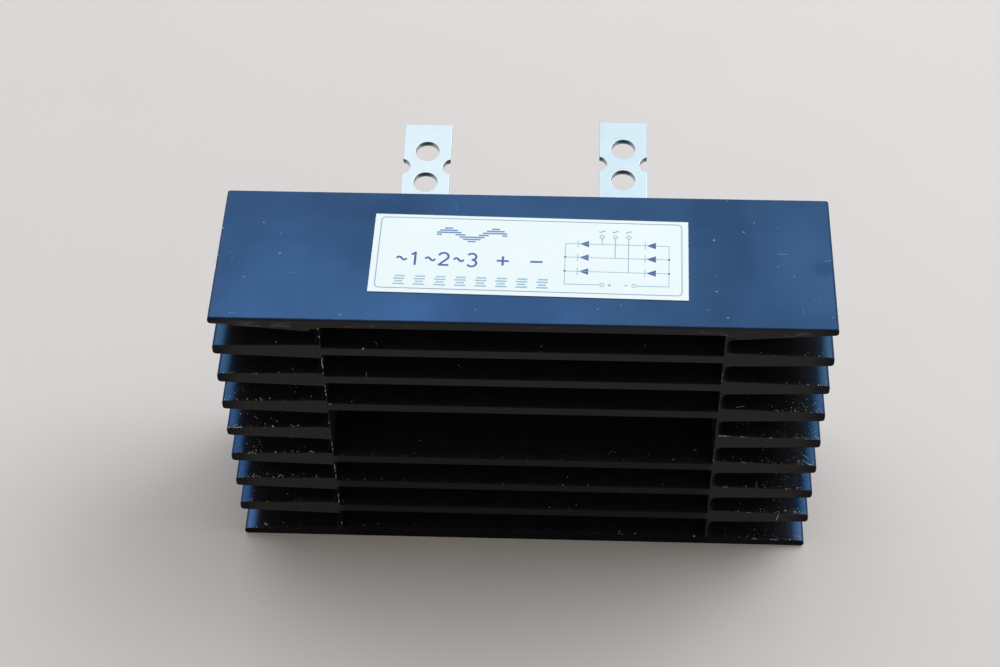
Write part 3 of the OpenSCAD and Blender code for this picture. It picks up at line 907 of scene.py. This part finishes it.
# pale specks on the plate beside the label, some of them larger, and fine crumbs along its outer edges
wear = dict(
    specks=((-50, 5.5), (-49.7, 0.1), (-60, 0.2), (-59.3, -1.5), (-46.4, -5.1), (-53.7, -11.2),
            (-58, -16.2), (-36, -16.1), (-17.3, -14.1), (-9.3, -14.1), (-56.3, -6.5), (-59.9, -13.9),
            (-53.9, 8.5), (-62.2, -0.7), (-62.2, 6.8), (38.5, 5.8), (44.6, 8.2), (54.3, -3.7), (38.7, -8.1),
            (40.7, -14.9), (51.7, 9.4), (46.8, 10.9), (15, -13.3), (19.6, -12.1), (31.8, 13.9),
            (41.5, 16.9), (28.1, 16.9), (38.6, -4.1), (51.2, -1.1), (58.1, -9.7), (61.4, -14.4),
            (-14.3, 13.1), (-19.2, 15.2), (-14.5, 14.2)),
    large=(1, 7, 13, 14, 15, 16, 17, 18), sizes=(0.18, 0.3), largeSizes=(0.3, 0.4), flat=0.25, lift=0.15,
    crumbs=90, crumbScale=0.35, crumbSpan=17.2, crumbInset=0.06, leftShare=0.65)


# Flat grains at the specks' places, and crumbs drawn evenly along the two outer edges
def plateSpecks(w, rng):
    down = rng.uniform(-w["crumbSpan"], w["crumbSpan"], w["crumbs"])
    side = np.where(rng.random(w["crumbs"]) < w["leftShare"], -1, 1)
    crumbs = np.stack([side * (sink["width"] / 2 - w["crumbInset"]), down], 1)
    flat = np.concatenate([np.array(w["specks"]), crumbs])
    size = rng.uniform(*w["sizes"], len(flat))
    size[len(w["specks"]):] *= w["crumbScale"]
    size[list(w["large"])] = rng.uniform(*w["largeSizes"], len(w["large"]))
    return grains(np.column_stack([flat, sink["height"] + w["lift"] * size]), size, rng, w["flat"])


# scratches, each as its start, its end and its width
scratches = dict(
    lines=((51.3, 2.4, 53.2, 2.3, 0.1), (60.5, 0.6, 62.2, 1.0, 0.07),
           (-58.5, -15.9, -56.6, -16.2, 0.05), (36.5, -13.2, 37.4, -12.6, 0.05),
           (55.4, -12.1, 55.9, -13.4, 0.05), (58.9, -9.0, 59.3, -10.2, 0.04)),
    bend=0.03, bendRate=9, stand=0.006, widths=(0.2, 0.7, 1, 0.6, 0.9, 0.6, 0.2))


# A thin strip along a line that bends a little in a sine, with a share of its width at each of its points
def scratchShapes(s):
    widths = np.array(s["widths"])
    count = len(widths)
    t = np.linspace(0, 1, count)
    shapes = []
    for x0, y0, x1, y1, width in s["lines"]:
        bent = y0 + (y1 - y0) * t + s["bend"] * np.sin(s["bendRate"] * t)
        path = np.stack([x0 + (x1 - x0) * t, bent, np.full(count, sink["height"])], 1)
        across = np.array([y0 - y1, x1 - x0, 0.0]) / math.hypot(x1 - x0, y1 - y0)
        across = across * (width / 2 * widths)[:, None]
        shapes.append(carried(path, across, np.tile([0, 0, s["stand"]], (count, 1))))
    return together(shapes)


# A finish of one tone, for marks that are too small to show more
def plain(name, code, roughness):
    def sockets(tree):
        return {"Base Color": colour(code), "Roughness": roughness}
    return finish(name, sockets)


addPiece("plate_specks", plateSpecks(wear, rng), plain("plate_dust", "#8299b8", 0.8))
addPiece("plate_scratches", scratchShapes(scratches), plain("scratched_dye", "#86a0bd", 0.6))

# the label was cut roughly: how many white crumbs lie along its left, right, upper and lower edge
fray = dict(counts=(70, 120, 26, 26), smallest=0.04, largest=0.14, flat=0.5, sunk=0.02)


# Places drawn evenly along each edge of the label's rectangle
def frayPlaces(f, rng):
    halfX, halfY = label["length"] / 2, label["depth"] / 2
    count = sum(f["counts"])
    along = rng.uniform(-1, 1, count)
    edge = np.repeat([0, 1, 2, 3], f["counts"])
    x = np.select([edge == 0, edge == 1], [-halfX, halfX], along * halfX)
    y = np.select([edge == 2, edge == 3], [halfY, -halfY], along * halfY)
    return onLabel(np.stack([x, y], 1), -f["sunk"])


frayed = frayPlaces(fray, rng)
fraySizes = rng.uniform(fray["smallest"], fray["largest"], len(frayed))
addPiece("label_crumbs", grains(frayed, fraySizes, rng, fray["flat"]), finishes["rating_label"])
print("dust, lint and marks")

# The floor and two soft boxes, in metres. The sky is seen by the camera and by reflections at one strength
# and lights the rest at another. A soft box's strength is what a mirror would show of it, 1 being white.
stage = dict(size=5.0, skySeen=0.80, skySeenTint="#fffcf8", skyLight=0.21, skyLightTint="#ffefda",
             tones=("#dedbd9", "#e2dfdd", 60, 4), even={"Roughness": 0.85, "Specular IOR Level": 0.1},
             aim=(0, 0, 0.05))
softBoxes = dict(back=dict(place=(0.02, 0.78, 1.29), size=(2.94, 2.48), strength=1.23, tint="#f2f8ff"),
                 side=dict(place=(0.95, 0.46, 1.11), size=(1.1, 1.1), strength=2.55, tint="#fdfdff"))

floorMesh = bpy.data.meshes.new("floor")
corners = np.column_stack([square * stage["size"] / 2, np.zeros(4)])
floorMesh.from_pydata(corners.tolist(), [], [(0, 1, 2, 3)])
floorMesh.materials.append(mottled("pale_floor", stage))
floor = addObject("floor", floorMesh)

world = bpy.data.worlds.new("studio")
world.use_nodes = True
bpy.context.scene.world = world
tree = world.node_tree
tree.nodes.clear()
ray = put(tree, "LightPath").outputs
seen = maths(tree, "MAXIMUM", ray["Is Camera Ray"], ray["Is Glossy Ray"], ray["Is Transmission Ray"])
skyTint = blend(tree, seen, colour(stage["skyLightTint"]), colour(stage["skySeenTint"]))
skyStrength = between(tree, seen, stage["skyLight"], stage["skySeen"])
sky = put(tree, "Background", {"Color": skyTint, "Strength": skyStrength})
put(tree, "OutputWorld", {"Surface": sky.outputs[0]})


# A rectangle of light that faces the block
def softBox(name, place, size, strength, tint):
    lamp = bpy.data.lights.new(name, "AREA")
    lamp.shape = "RECTANGLE"
    lamp.size, lamp.size_y = size
    lamp.energy = strength * math.pi * size[0] * size[1]
    lamp.color = colour(tint)[:3]
    box = addObject(name, lamp)
    box.location = place
    box.rotation_euler = (Vector(stage["aim"]) - Vector(place)).to_track_quat("-Z", "Y").to_euler()


for name, values in softBoxes.items():
    softBox(name + "_light", **values)

# the camera's place and what it looks at, how far it is rolled, and its lens on a 36 mm sensor
view = dict(place=(9.881, -288.516, 393.078), aim=(-5.443, 4.629, 45), roll=1.138, lens=76.366, sensor=36,
            nearest=10)
cameraData = bpy.data.cameras.new("camera")
cameraData.lens = view["lens"]
cameraData.sensor_width = view["sensor"]
cameraData.clip_start = view["nearest"] * mm
camera = addObject("camera", cameraData)
camera.location = Vector(view["place"]) * mm
look = (Vector(view["aim"]) * mm - camera.location).to_track_quat("-Z", "Y")
camera.rotation_euler = (look @ Quaternion((0, 0, 1), math.radians(-view["roll"]))).to_euler()
bpy.context.scene.camera = camera
bpy.context.scene.view_settings.view_transform = "Standard"
print("floor, light and camera")
